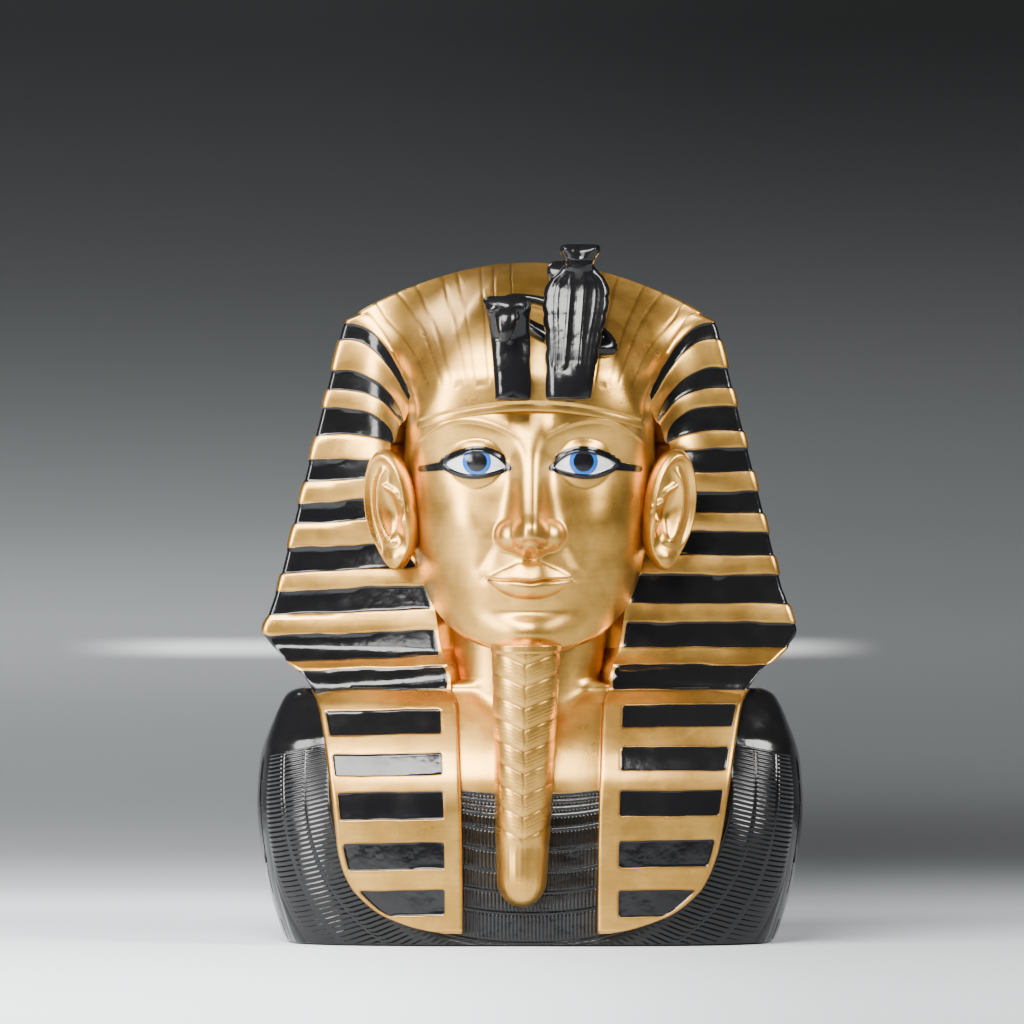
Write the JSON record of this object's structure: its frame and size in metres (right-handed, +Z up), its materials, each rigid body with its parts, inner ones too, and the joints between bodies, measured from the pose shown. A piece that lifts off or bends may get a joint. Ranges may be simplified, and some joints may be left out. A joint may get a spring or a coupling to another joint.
{
  "type": "pharaoh bust",
  "caption": "Cast ceramic bust of a pharaoh in a striped headcloth with lappets, cobra and vulture on the brow, plaited false beard and broad collar over block shoulders, gilt and gloss black.",
  "frame": {"origin": "centre of the flat underside, below the middle of the shoulder block", "axes": "+Z up, the face looks along -Y, +X to the right of a viewer who faces it"},
  "size_m": [0.345, 0.2339, 0.4395],
  "materials": {
    "gilt_and_black_glaze": "metallic gilt over the headcloth, face, beard and lappets, gloss black glaze on the stripes, shoulders, collar and brow ornaments"
  },
  "bodies": {
    "root": {"bust": "gilt_and_black_glaze"}
  },
  "joints": []
}
